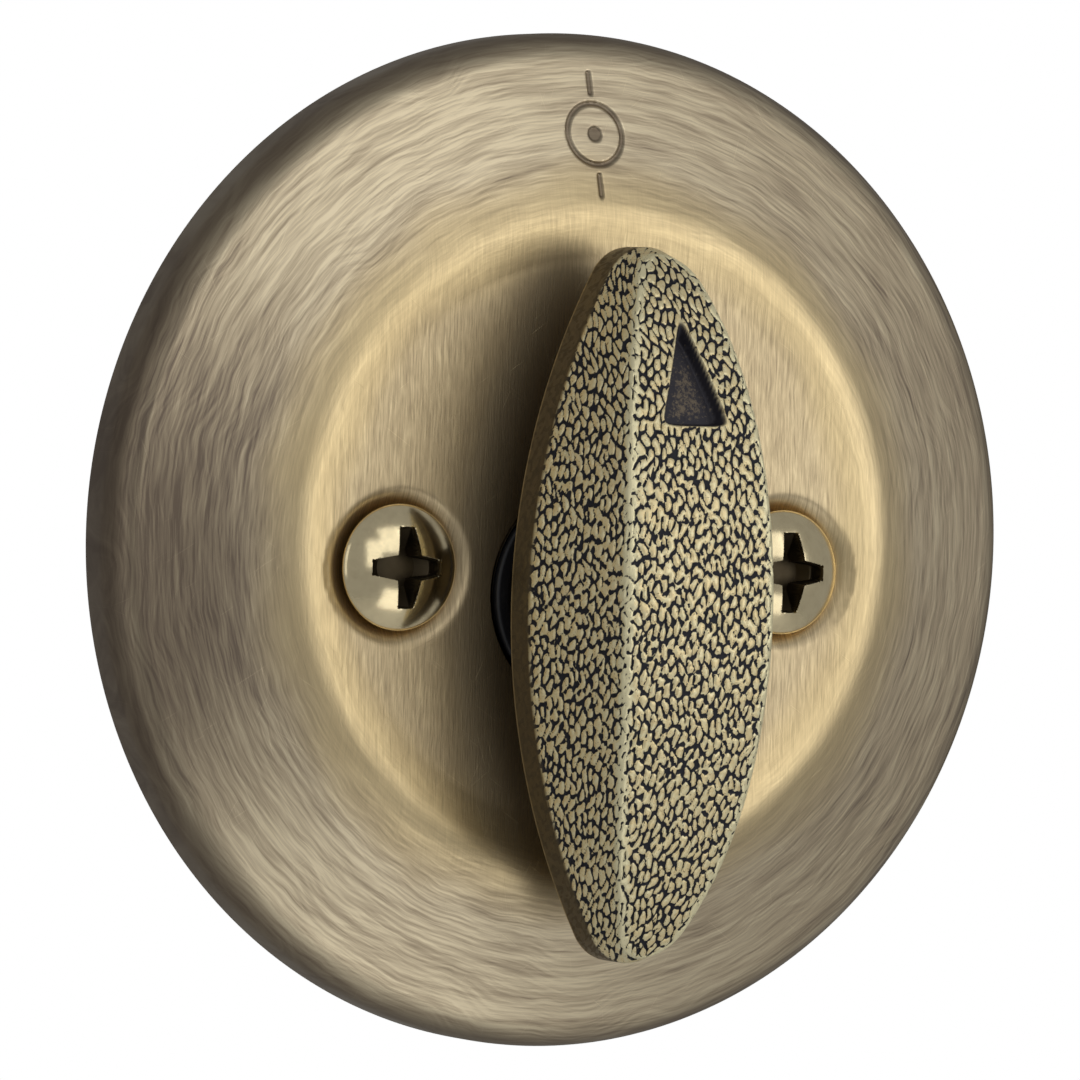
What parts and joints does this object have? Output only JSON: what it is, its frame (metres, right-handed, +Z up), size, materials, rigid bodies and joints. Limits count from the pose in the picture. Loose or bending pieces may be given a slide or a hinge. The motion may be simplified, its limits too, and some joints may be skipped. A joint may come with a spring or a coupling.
{
  "type": "one-sided deadbolt door lock",
  "caption": "Deadbolt with a textured thumb turn on a domed round rose, a cranked bolt case, a round barrel and an edge plate.",
  "frame": {"origin": "where the spindle's axis meets the door's inside face", "axes": "+Y into the door, away from the room; +X towards the door's edge and the thrown bolt; +Z up"},
  "size_m": [0.119, 0.0523, 0.0667],
  "materials": {
    "antique_brass": "brushed antique brass, oxidised and lacquered",
    "grained_brass": "cast brass with a pebbled grain, blackened in its grooves",
    "polished_brass": "polished and lacquered brass plate",
    "black_nylon": "moulded black nylon",
    "zinc_steel": "zinc-plated pressed steel",
    "turned_steel": "turned steel",
    "spring_steel": "blued spring steel",
    "cast_zinc": "die-cast zinc"
  },
  "bodies": {
    "lock_frame": {"rose": "antique_brass", "mounting_plate": "zinc_steel", "turn_bushing": "black_nylon", "mounting_screws": "polished_brass", "case_channel": "zinc_steel", "case_cover": "zinc_steel", "clamp_posts": "turned_steel", "case_rivets": "turned_steel", "detent_spring": "spring_steel", "bolt_barrel": "zinc_steel", "backing_plate": "zinc_steel", "faceplate": "antique_brass", "faceplate_screws": "polished_brass"},
    "turn": {"turn_piece": "grained_brass", "wave_washer": "spring_steel", "retaining_ring": "spring_steel", "torque_blade": "zinc_steel", "blade_pin": "spring_steel"},
    "crank_hub": {"crank": "cast_zinc"},
    "bolt_slide": {"bolt": "antique_brass", "saw_guard_pins": "turned_steel", "tail_plates": "zinc_steel", "tail_rivets": "turned_steel", "drive_pin": "turned_steel"}
  },
  "joints": [
    {"name": "thumb_turn", "type": "hinge", "parent": "lock_frame", "child": "turn", "pos_m": [0, 0, 0], "axis": [0, -1, 0], "range_deg": [0, 90], "deforming": ["detent_spring"]},
    {"name": "crank_turn", "type": "hinge", "parent": "lock_frame", "child": "crank_hub", "pos_m": [0, 0.0175, 0], "axis": [0, -1, 0], "range_deg": [0, 90]},
    {"name": "bolt_throw", "type": "slide", "parent": "lock_frame", "child": "bolt_slide", "axis": [1, 0, 0], "range_m": [-0.0254, 0]}
  ],
  "couplings": [
    {"joint": "crank_turn", "follows": "bolt_throw", "rad_per_m": -61.842},
    {"joint": "thumb_turn", "follows": "bolt_throw", "rad_per_m": -61.842}
  ]
}
